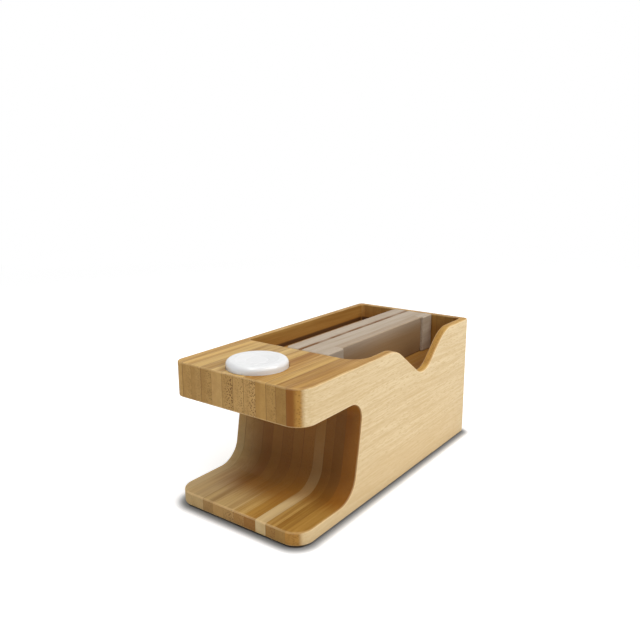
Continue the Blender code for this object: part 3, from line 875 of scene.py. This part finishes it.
def glue_and_edge_shade_group():
    """A mask of thin dark lines at two places along Y: glue lines where a stave meets its
    neighbours, and painted shade along a spacer's edges.
    """
    group, given, made = new_group(
        "Glue lines",
        {
            "Vector": ("Place", "Facing"),
            "Float": ("Width", "Front", "Front strength", "Back", "Back strength"),
        },
        {"Float": ("Mask",)},
    )
    place = split(group, given["Place"])
    lines = []
    for side in ("Front", "Back"):
        away = calc(group, "ABSOLUTE", calc(group, "SUBTRACT", place["Y"], given[side]))
        near = ramp(group, calc(group, "DIVIDE", away, given["Width"]), *GLUE_EDGE)
        lines.append(product(group, near, given[side + " strength"]))
    uneven = noise(group, given["Place"], *GLUE_NOISE)["Fac"]
    facing = calc(group, "ABSOLUTE", split(group, given["Facing"])["Y"])
    # A face that lies along the joint shows no line, and the lines of the base are fainter
    line = product(
        group,
        calc(group, "MAXIMUM", *lines),
        ramp(group, uneven, *GLUE_UNEVEN),
        ramp(group, facing, *GLUE_FACING),
        ramp(group, place["Z"], *GLUE_HEIGHT),
    )
    group.links.new(line, made["Mask"])


def sanded_highlight_group():
    """Lightens a colour where the piece's worn attribute says that its edge was sanded: partly
    bare sanded wood, partly a painted highlight along the edge.
    """
    group, given, made = new_group(
        "Sanded edges",
        {"Vector": ("Place",), "Color": ("Color",), "Float": ("Amount",)},
        {"Color": ("Color",)},
    )
    worn = add_node(group, "ShaderNodeAttribute", attribute_name="worn").outputs["Fac"]
    patches = noise(group, given["Place"], *WORN_HIGHLIGHT_NOISE)["Fac"]
    mask = product(group, worn, ramp(group, patches, *WORN_HIGHLIGHT_UNEVEN), given["Amount"])
    group.links.new(mix(group, mask, given["Color"], solid(SANDED_HIGHLIGHT)), made["Color"])


def use_group():
    """Fine scuffs and dust for smooth materials: a roughness and a height that vary."""
    group, given, made = new_group(
        "Light use",
        {"Vector": ("Place",), "Float": ("Plain", "Spread")},
        {"Float": ("Roughness", "Height")},
    )
    smears = noise(group, given["Place"], *SMEAR_NOISE)["Fac"]
    grit = noise(group, given["Place"], *GRIT_NOISE)["Fac"]
    change = product(group, calc(group, "SUBTRACT", smears, NOISE_MEAN), given["Spread"])
    group.links.new(calc(group, "ADD", given["Plain"], change), made["Roughness"])
    group.links.new(grit, made["Height"])


def new_material(name):
    """A material with its node tree, its Principled shader and its texture coordinates."""
    made = bpy.data.materials.new(name)
    made.use_nodes = True
    tree = made.node_tree
    places = add_node(tree, "ShaderNodeTexCoord").outputs
    return made, tree, tree.nodes["Principled BSDF"], places


def put_group(tree, name, sockets):
    """Places a node group in a material with its own values, and returns its outputs."""
    group = bpy.data.node_groups[name]
    return add_node(tree, "ShaderNodeGroup", sockets, node_tree=group).outputs


def bump(tree, shader, height, strength, distance):
    sockets = {"Height": height, "Strength": strength, "Distance": distance}
    made = add_node(tree, "ShaderNodeBump", sockets)
    tree.links.new(made.outputs["Normal"], shader.inputs["Normal"])


def bamboo(name, tones, values, shift, joints, width, edge_highlight):
    """Bamboo with its own tones, its own stretch of the grain, its own dark lines, which are
    glue lines on a stave and painted shade along a spacer's edges, and its edge lightening,
    partly painted highlight.
    """
    made, tree, shader, places = new_material(name)
    sockets = {"Vector": places["Object"], "Location": shift}
    moved = add_node(tree, "ShaderNodeMapping", sockets).outputs[0]
    surface = {"Place": places["Object"], "Facing": places["Normal"]}
    colours = {title: solid(rgb) for title, rgb in tones.items()}
    sockets = {**surface, "Grain place": moved, **values, **colours}
    grain = put_group(tree, "Bamboo grain", sockets)
    sockets = {
        **surface,
        "Width": width,
        "Front": values["Front"],
        "Front strength": joints[0],
        "Back": values["Back"],
        "Back strength": joints[1],
    }
    mask = put_group(tree, "Glue lines", sockets)["Mask"]
    base = mix(tree, mask, grain["Color"], solid(bpy.context.scene.stand_finish.glue))
    sockets = {"Place": places["Object"], "Color": base, "Amount": edge_highlight}
    worn = put_group(tree, "Sanded edges", sockets)
    tree.links.new(worn["Color"], shader.inputs["Base Color"])
    tree.links.new(grain["Roughness"], shader.inputs["Roughness"])
    shader.inputs["Specular IOR Level"].default_value = WOOD_SPECULAR
    bump(tree, shader, grain["Height"], *GRAIN_BUMP)
    return made


# Smooth finishes: roughness, how far that varies, how metallic, and the strength of the grit
POLISHED_PLASTIC = (0.2, 0.12, 0.0, 0.02)
ENAMELLED_WIRE = (0.32, 0.1, 1.0, 0.05)
NICKEL_PLATE = (0.28, 0.1, 1.0, 0.05)
MATT_RUBBER = (0.75, 0.2, 0.0, 0.4)
# Roughness of the brushed steel, and how far it varies
STEEL_ROUGHNESS = (0.3, 0.1)


def smooth_material(name, rgb, plain, spread, metallic, grit):
    """Plastic, rubber or metal whose roughness varies with light use."""
    made, tree, shader, places = new_material(name)
    sockets = {"Place": places["Object"], "Plain": plain, "Spread": spread}
    use = put_group(tree, "Light use", sockets)
    shader.inputs["Base Color"].default_value = solid(rgb)
    shader.inputs["Metallic"].default_value = metallic
    tree.links.new(use["Roughness"], shader.inputs["Roughness"])
    bump(tree, shader, use["Height"], grit, GRIT_DEPTH)
    return made


def brushed_steel(name, rgb, middle):
    """Steel with fine rings about the middle of a turned piece."""
    made, tree, shader, places = new_material(name)
    parts = away_from(tree, places["Object"], middle)
    flat = add_node(tree, "ShaderNodeCombineXYZ", {"X": parts["X"], "Y": parts["Y"]})
    sockets = {"X": length_of(tree, flat.outputs[0]), "Z": parts["Z"]}
    rings = add_node(tree, "ShaderNodeCombineXYZ", sockets).outputs[0]
    lines = noise(tree, rings, *RING_NOISE)["Fac"]
    plain, spread = STEEL_ROUGHNESS
    sockets = {"Place": places["Object"], "Plain": plain, "Spread": spread}
    use = put_group(tree, "Light use", sockets)
    rough = calc(tree, "ADD", use["Roughness"], ramp(tree, lines, *RING_ROUGHNESS))
    tree.links.new(rough, shader.inputs["Roughness"])
    shader.inputs["Base Color"].default_value = solid(rgb)
    shader.inputs["Metallic"].default_value = 1.0
    bump(tree, shader, lines, *RING_BUMP)
    return made


# Half of a glue line's width, and how far the painted shade along a spacer's edge reaches, in
# metres
GLUE_WIDTH = 0.00024
EDGE_SHADE_WIDTH = 0.0016
# How much lighter the sanded edges are, partly bare wood and partly painted highlight
STAVE_EDGE_HIGHLIGHT_SHARE = 0.3
SPACER_EDGE_HIGHLIGHT_SHARE = 0.03
# How dark the painted shade on the pocket's walls and in the front spacer's recess is
POCKET_SHADE_SHARE = 0.85
RECESS_SHADE_SHARE = 0.95
# How far the recess's painted shade reaches from the spacer's front, in metres
RECESS_SHADE_REACH = 0.006
# From the toe to where the painted shade in the watch gap starts, in metres
GAP_SHADE_START = 0.008
# How far each stave's grain is moved from its neighbour's, in metres
GRAIN_SHIFT = (0.31, 0.017, 0.043)

# How light and how warm each stave is along its grain and at its ends, from the front face back
STAVE_TONES = (
    (0.80, 1.25, 0.95, 1.40),
    (0.72, 1.28, 0.76, 1.22),
    (0.88, 1.05, 0.90, 1.12),
    (0.95, 1.04, 0.98, 1.12),
    (0.76, 1.34, 1.11, 0.98),
    (0.91, 0.99, 1.11, 0.98),
    (0.98, 0.85, 1.00, 1.03),
    (0.96, 0.87, 1.10, 0.98),
    (0.86, 0.92, 0.91, 1.08),
    (0.95, 0.92, 0.93, 1.06),
    (1.00, 0.98, 0.94, 1.08),
    (0.92, 1.06, 1.05, 1.04),
)
# How many dots each stave's ends show, how far its base was bleached, how much darker its ends
# get at the back side and at the base, and how much painted shade it takes in the watch gap
STAVE_SHARES = {
    "Dots": (0.5, 0.2, 0.5, 0.1, 1.0, 0.6, 1.2, 0.1, 0.5, 0.3, 0.3, 0.1),
    "Bleached": (0.0, 0.0, 0.0, 0.85, 0.0, 0.0, 0.1, 0.08, 0.15, 0.5, 0.5, 0.75),
    "Dark back": (1.0, 0.1, 0.0, 0.2, 0.1, 0.1, 0.1, 0.1, 0.2, 0.2, 0.1, 0.0),
    # The ends' darkening at the base is partly painted shade near the table
    "Dark foot": (0.1, 0.0, 0.4, 0.0, 0.9, 0.6, 0.3, 0.3, 0.5, 0.0, 0.0, 0.0),
    "Gap shade": (1.0, 1.0, 1.0, 0.72, 1.0, 1.0, 1.0, 1.0, 1.0, 1.0, 1.0, 1.0),
}
# How dark each joint is, from the front face, which has none, to the back face
JOINT_SHARES = (0.0, 0.5, 0.5, 0.75, 0.35, 0.7, 0.75, 0.6, 0.3, 0.75, 0.25, 0.8, 0.0)


def toned(base, light, warm):
    """A colour made lighter or darker, and warmer by holding back its green and its blue."""
    red, green, blue = base
    return (
        min(1.0, red * light),
        min(1.0, green * light / math.sqrt(warm)),
        min(1.0, blue * light / warm**2),
    )


def set_in_place(piece, body, node):
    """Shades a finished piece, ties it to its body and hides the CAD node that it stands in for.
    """
    piece.data.shade_smooth()
    piece.data.set_sharp_from_angle(angle=SMOOTH_ANGLE)
    normals = piece.modifiers.new("Flat faces stay flat", "WEIGHTED_NORMAL")
    normals.keep_sharp = True
    normals.weight = FLAT_FACE_WEIGHT
    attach(piece, body)
    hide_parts(node)


class STAND_OT_make_staves(bpy.types.Operator):
    """Mills the block, sands it and slices it into its twelve bamboo staves"""

    bl_idname = "stand.make_staves"
    bl_label = "Make Staves"

    def execute(self, context):
        sizes = context.scene.stand_sizes
        finish = context.scene.stand_finish
        block = milled_block(sizes)
        cut_dock(block, sizes)
        sand_block(block, sizes)
        cut_passages(block, sizes)
        start, end = pocket_ends(sizes)
        front = FRONT_Y + sizes.front_wall
        back = BACK_Y - sizes.back_wall
        half = ((end - start) / 2, (back - front) / 2, sizes.slot_depth / 2)
        # Painted shade in the pocket and the watch gap, and in the tray's corner
        pocket = {
            "Pocket middle": ((start + end) / 2, (front + back) / 2, RIM_Z - half[2]),
            "Pocket half": [part + sizes.edge_round for part in half],
            "Pocket shade": POCKET_SHADE_SHARE,
            "Tray edge": (0.0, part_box("rear_spacer")[1].y, RIM_Z - sizes.tray_depth),
            "Gap corner": (TOE_X + GAP_SHADE_START, BACK_Y, RIM_Z - sizes.shelf_thickness),
        }
        outside = {STAVES[0]: -1.0, STAVES[-1]: 1.0}
        for index, name in enumerate(STAVES):
            low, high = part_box(name)
            light, warm, end_light, end_warm = STAVE_TONES[index]
            tones = {
                "Face pale": finish.face_pale,
                "Face deep": finish.face_deep,
                "Body pale": toned(finish.body_pale, light, warm),
                "Body deep": toned(finish.body_deep, light, warm),
                "End pale": toned(finish.end_pale, end_light, end_warm),
                "End deep": toned(finish.end_deep, end_light, end_warm),
                "Bleached color": finish.bleached,
            }
            values = {"Outside": outside.get(name, 0.0), "Front": low.y, "Back": high.y}
            values.update(pocket)
            values.update({title: shares[index] for title, shares in STAVE_SHARES.items()})
            material = bamboo(
                name + "_bamboo",
                tones,
                values,
                [(index + 1) * part for part in GRAIN_SHIFT],
                JOINT_SHARES[index : index + 2],
                GLUE_WIDTH,
                STAVE_EDGE_HIGHLIGHT_SHARE,
            )
            stave = new_piece(name + "_milled", slice_stave(block, name), material)
            set_in_place(stave, "stand", name)
        bpy.data.objects.remove(block, do_unlink=True)
        return {"FINISHED"}


# Where each spacer's grain starts, in metres, and how dark the painted shade along its edges is
SPACER_GRAIN = {"front_spacer": (2.1, 0.4, 0.7), "rear_spacer": (3.3, 0.9, 0.2)}
SPACER_EDGE_SHADE_SHARES = {"front_spacer": (0.0, 1.0), "rear_spacer": (1.0, 0.6)}
SPACER_DOTS_SHARE = 0.3


class STAND_OT_make_spacers(bpy.types.Operator):
    """Makes the two loose spacers, the front one with its recess for a phone's back"""

    bl_idname = "stand.make_spacers"
    bl_label = "Make Spacers"

    def execute(self, context):
        sizes = context.scene.stand_sizes
        finish = context.scene.stand_finish
        tones = {"Bleached color": finish.bleached}
        for title in ("Face", "Body", "End"):
            tones[title + " pale"] = finish.spacer_pale
            tones[title + " deep"] = finish.spacer_deep
        # The spacers' deep end tone is also the colour of the painted shade in the front
        # spacer's recess
        tones["End deep"] = finish.spacer_shaded
        for name, body in (("front_spacer", "spacer_front"), ("rear_spacer", "spacer_rear")):
            low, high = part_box(name)
            values = {"Front": low.y, "Back": high.y, "Dots": SPACER_DOTS_SHARE}
            if name == "front_spacer":
                left = low.x + sizes.shelf_shoulder
                right = high.x - sizes.dock_shoulder
                seat = low.y + sizes.spacer_recess
                corners = plan(low, high, 0, 0, 0, 0)
                recess = ((left, low.y), (left, seat), (right, seat), (right, low.y))
                corners[1:1] = [(x, y, 0) for x, y in recess]
                # Painted shade in the front spacer's recess
                values["Pocket middle"] = ((left + right) / 2, low.y, (low.z + high.z) / 2)
                values["Pocket half"] = ((right - left) / 2, RECESS_SHADE_REACH, high.z - low.z)
                values["Pocket shade"] = RECESS_SHADE_SHARE
            else:
                free = sizes.pocket_round + sizes.spacer_clearance
                corners = plan(low, high, 0, 0, free, free)
            spacer = prism(name + "_sanded", corners, low.z, high.z)
            sand(spacer, sizes.edge_round)
            material = bamboo(
                name + "_bamboo",
                tones,
                values,
                SPACER_GRAIN[name],
                SPACER_EDGE_SHADE_SHARES[name],
                EDGE_SHADE_WIDTH,
                SPACER_EDGE_HIGHLIGHT_SHARE,
            )
            spacer.data.materials.append(material)
            set_in_place(spacer, body, name)
        return {"FINISHED"}


# The small rounding of the puck's inner edges, as a share of its wall
CRISP_SHARE = 1 / 6
# How much of the dish's radius its bottom reaches, and how much of it is its curve
DISH_FLOOR_SHARE = 0.5
DISH_CURVE_SHARE = 0.25
# The coil's turns of wire, the radius of the hole in its middle in metres, and how much of half
# a wire's width its corners round off
COIL_TURNS = 7
COIL_HOLE = 0.0062
WIRE_ROUND_SHARE = 0.9


class STAND_OT_make_puck(bpy.types.Operator):
    """Turns the charging puck: its steel shell, white cap, coil and magnet"""

    bl_idname = "stand.make_puck"
    bl_label = "Make Puck"

    def execute(self, context):
        sizes = context.scene.stand_sizes
        finish = context.scene.stand_finish
        place, radius, joint = round_box("puck_shell")
        inside = radius - sizes.shell_wall
        crisp = sizes.shell_wall * CRISP_SHARE
        facets = sizes.turn_facets

        shell_outline = [
            (0, 0, 0),
            (radius, 0, sizes.shell_round),
            (radius, joint, crisp),
            (inside, joint, 0),
            (inside, sizes.shell_floor, crisp),
            (0, sizes.shell_floor, 0),
        ]
        steel = brushed_steel("puck_steel_brushed", finish.steel, place)
        shell = turned("puck_shell_turned", shell_outline, facets, place, steel)
        reach = 2 * sizes.shell_wall
        drill = post("outlet_drill", 0, 0, -reach, reach, sizes.outlet_radius, facets // 3)
        outlet = place + Vector((inside, 0, (sizes.shell_floor + joint) / 2))
        sideways = Matrix.Rotation(math.radians(90), 4, "Y")
        drill.data.transform(Matrix.Translation(outlet) @ sideways)
        carve(shell, [drill])

        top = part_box("puck_cap")[1].z - place.z
        dish = radius - 2 * sizes.cap_round
        dish_floor = top - sizes.cap_dish
        roof = dish_floor - sizes.cap_roof
        cap_outline = [
            (0, dish_floor, 0),
            (dish * DISH_FLOOR_SHARE, dish_floor, dish * DISH_CURVE_SHARE),
            (dish, top, sizes.cap_round),
            (radius, top, sizes.cap_round),
            (radius, joint, crisp),
            (inside, joint, 0),
            (inside, roof, crisp),
            (0, roof, 0),
        ]
        white = smooth_material("puck_white_polished", finish.cap, *POLISHED_PLASTIC)
        cap = turned("puck_cap_turned", cap_outline, facets, place, white)

        coil_place, coil_radius, coil_height = round_box("puck_coil")
        half_height = coil_height / 2
        half_width = (coil_radius - COIL_HOLE) / COIL_TURNS / 2
        winding = bmesh.new()
        for turn in range(COIL_TURNS):
            middle = COIL_HOLE + half_width * (2 * turn + 1)
            wire = plan(
                (middle - half_width, -half_height),
                (middle + half_width, half_height),
                *[half_width * WIRE_ROUND_SHARE] * 4,
            )
            spin_profile(winding, wire, facets // 2)
        coil_place.z += half_height
        bmesh.ops.translate(winding, vec=coil_place, verts=winding.verts)
        copper = smooth_material("coil_copper_wound", finish.copper, *ENAMELLED_WIRE)
        coil = new_piece("puck_coil_wound", winding, copper)

        magnet_place, wide, tall = round_box("puck_magnet")
        magnet_outline = [(0, 0, 0), (wide, 0, crisp), (wide, tall, crisp * 2), (0, tall, 0)]
        nickel = smooth_material("magnet_nickel_plated", finish.nickel, *NICKEL_PLATE)
        half = facets // 2
        magnet = turned("puck_magnet_plated", magnet_outline, half, magnet_place, nickel)
        for piece, node in (
            (shell, "puck_shell"),
            (cap, "puck_cap"),
            (coil, "puck_coil"),
            (magnet, "puck_magnet"),
        ):
            set_in_place(piece, "puck", node)
        return {"FINISHED"}


# Of a foot's height, how deep the middle of its underside is pressed in and how much its edge
# rounds off, and of its radius, where the pressed part ends and where the rim starts
FOOT_DENT_SHARE = 0.1
FOOT_ROUND_SHARE = 0.25
FOOT_DENT_END_SHARE = 0.5
FOOT_RIM_START_SHARE = 0.55


class STAND_OT_make_feet(bpy.types.Operator):
    """Turns the four rubber feet, each with a shallow dent pressed into its underside"""

    bl_idname = "stand.make_feet"
    bl_label = "Make Feet"

    def execute(self, context):
        sizes = context.scene.stand_sizes
        finish = context.scene.stand_finish
        rubber = smooth_material("foot_rubber_matt", finish.rubber, *MATT_RUBBER)
        for name in FEET:
            place, radius, height = round_box(name)
            dent = height * FOOT_DENT_SHARE
            edge = height * FOOT_ROUND_SHARE
            outline = [
                (0, dent, 0),
                (radius * FOOT_DENT_END_SHARE, dent, dent / 2),
                (radius * FOOT_RIM_START_SHARE, 0, dent / 2),
                (radius, 0, edge),
                (radius, height, edge / 2),
                (0, height, 0),
            ]
            foot = turned(name + "_moulded", outline, sizes.turn_facets // 2, place, rubber)
            set_in_place(foot, "stand", name)
        return {"FINISHED"}


# Each lamp's place and width, and the point that all of them are turned to, in metres
LAMPS = {
    "key": ((0.3, -0.95, 0.95), 0.9),
    "side": ((-0.75, -0.2, 1.1), 0.6),
    "top": ((-0.1, 0.15, 1.3), 1.2),
}
LAMP_TARGET = Vector((0.0, 0.0, 0.03))
# The camera's place in metres, how far it is turned, tilted up from straight down and rolled, in
# degrees, and its sensor in millimetres
CAMERA_PLACE = (-0.2717, -0.1889, 0.1568)
CAMERA_TURN = -53.68
CAMERA_TILT = 76.72
CAMERA_ROLL = -0.237
SENSOR_WIDTH = 36.0
# The paper floor: its radius and facets, and how rough and how shiny it is
FLOOR_RADIUS = 12.0
FLOOR_FACETS = 64
PAPER_ROUGHNESS = 0.9
PAPER_SPECULAR = 0.1
# Smooth steps by distance in metres: to plain white far out, and from the block's outline to the
# open paper for its colour, which is a painted contact shadow, and for how much it is lifted to
# white
FAR_WHITE = (0.30, 0.85)
PAPER_CONTACT_SHADOW = (0.0, 0.006, 0.3, 0.92)
PAPER_LIFT = (0.0, 0.006, 0.0, 0.45)
# Where along X the outline's corners change from the toe's rounding to the dock's, in metres
CORNER_CHANGE = (-0.05, 0.05)
WHITE = (1.0, 1.0, 1.0, 1.0)


class STAND_OT_make_stage(bpy.types.Operator):
    """Makes the floor, the lamps, the sky and the camera"""

    bl_idname = "stand.make_stage"
    bl_label = "Make Stage"

    def execute(self, context):
        scene = context.scene
        stage = scene.stand_stage
        make_floor(scene.stand_sizes)
        make_sky(scene, stage.sky)
        for name, (place, width) in LAMPS.items():
            make_lamp(scene, name + "_lamp", place, width, getattr(stage, name + "_power"))
        make_camera(scene, stage.lens)
        scene.view_settings.view_transform = "Standard"
        return {"FINISHED"}


def seen_by_eye(tree):
    """1 for camera, glossy and transmission rays, which see the white background."""
    rays = add_node(tree, "ShaderNodeLightPath").outputs
    seen = calc(tree, "MAXIMUM", rays["Is Camera Ray"], rays["Is Glossy Ray"])
    return calc(tree, "MAXIMUM", seen, rays["Is Transmission Ray"])


def make_floor(sizes):
    """A sheet of white paper with a painted contact shadow close to the block, all along its
    outline.
    """
    # The block's reach, read before the floor is there and counts too
    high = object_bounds()[1]
    shape = bmesh.new()
    bmesh.ops.create_circle(shape, cap_ends=True, radius=FLOOR_RADIUS, segments=FLOOR_FACETS)
    made, tree, shader, places = new_material("floor_paper")
    floor = new_piece("floor", shape, made)
    seen = seen_by_eye(tree)
    far = product(tree, ramp(tree, length_of(tree, places["Object"]), *FAR_WHITE), seen)
    shader.inputs["Roughness"].default_value = PAPER_ROUGHNESS
    shader.inputs["Specular IOR Level"].default_value = PAPER_SPECULAR
    shader.inputs["Emission Color"].default_value = WHITE
    place = split(tree, places["Object"])
    corner = ramp(tree, place["X"], *CORNER_CHANGE, sizes.toe_round, sizes.dock_round)
    squares = []
    for axis, edge in (("X", high.x), ("Y", high.y)):
        past = calc(tree, "SUBTRACT", calc(tree, "ABSOLUTE", place[axis]), edge)
        past = calc(tree, "MAXIMUM", calc(tree, "ADD", past, corner), 0.0)
        squares.append(product(tree, past, past))
    near = calc(tree, "SUBTRACT", calc(tree, "SQRT", calc(tree, "ADD", *squares)), corner)
    tree.links.new(ramp(tree, near, *PAPER_CONTACT_SHADOW), shader.inputs["Base Color"])
    lift = product(tree, seen, ramp(tree, near, *PAPER_LIFT))
    tree.links.new(lift, shader.inputs["Emission Strength"])
    glow = add_node(tree, "ShaderNodeEmission", {"Strength": 1.0}).outputs[0]
    sockets = {0: far, 1: shader.outputs[0], 2: glow}
    blended = add_node(tree, "ShaderNodeMixShader", sockets).outputs[0]
    tree.links.new(blended, tree.nodes["Material Output"].inputs["Surface"])
    floor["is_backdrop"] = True


def make_sky(scene, strength):
    world = bpy.data.worlds.new("studio_sky")
    world.use_nodes = True
    tree = world.node_tree
    background = tree.nodes["Background"]
    background.inputs["Color"].default_value = WHITE
    level = ramp(tree, seen_by_eye(tree), 0.0, 1.0, strength, 1.0)
    tree.links.new(level, background.inputs["Strength"])
    scene.world = world


def make_lamp(scene, name, place, width, watts):
    data = bpy.data.lights.new(name, "AREA")
    data.shape = "DISK"
    data.size = width
    data.energy = watts
    lamp = bpy.data.objects.new(name, data)
    lamp.location = place
    towards = LAMP_TARGET - Vector(place)
    lamp.rotation_mode = "QUATERNION"
    lamp.rotation_quaternion = towards.to_track_quat("-Z", "Y")
    scene.collection.objects.link(lamp)


def make_camera(scene, lens):
    data = bpy.data.cameras.new("photo_camera")
    data.lens = lens
    data.sensor_width = SENSOR_WIDTH
    camera = bpy.data.objects.new("photo_camera", data)
    placed = Matrix.Translation(CAMERA_PLACE)
    for degrees, axis in ((CAMERA_TURN, "Z"), (CAMERA_TILT, "X"), (CAMERA_ROLL, "Z")):
        placed = placed @ Matrix.Rotation(math.radians(degrees), 4, axis)
    camera.matrix_world = placed
    scene.collection.objects.link(camera)
    scene.camera = camera


class STAND_PT_panel(bpy.types.Panel):
    """Lists the stand's pieces, sizes, colours and stage"""

    bl_idname = "STAND_PT_panel"
    bl_label = "Phone and Watch Stand"
    bl_space_type = "VIEW_3D"
    bl_region_type = "UI"
    bl_category = "Stand"

    def draw(self, context):
        for operator in OPERATORS:
            self.layout.operator(operator.bl_idname)
        for title in SETTINGS:
            settings = getattr(context.scene, title)
            column = self.layout.column()
            for name in settings.__annotations__:
                column.prop(settings, name)


SETTINGS = {
    "stand_sizes": StandSizes,
    "stand_finish": StandFinish,
    "stand_stage": StandStage,
}
OPERATORS = (
    STAND_OT_make_staves,
    STAND_OT_make_spacers,
    STAND_OT_make_puck,
    STAND_OT_make_feet,
    STAND_OT_make_stage,
)
CLASSES = (*SETTINGS.values(), *OPERATORS, STAND_PT_panel)


def register():
    for made in CLASSES:
        bpy.utils.register_class(made)
    for title, made in SETTINGS.items():
        setattr(bpy.types.Scene, title, PointerProperty(type=made))


def unregister():
    for title in SETTINGS:
        delattr(bpy.types.Scene, title)
    for made in reversed(CLASSES):
        bpy.utils.unregister_class(made)


def main():
    register()
    for make in (bamboo_group, glue_and_edge_shade_group, sanded_highlight_group, use_group):
        make()
    bpy.ops.stand.make_staves()
    bpy.ops.stand.make_spacers()
    bpy.ops.stand.make_puck()
    bpy.ops.stand.make_feet()
    bpy.ops.stand.make_stage()


if __name__ == "__main__":
    main()
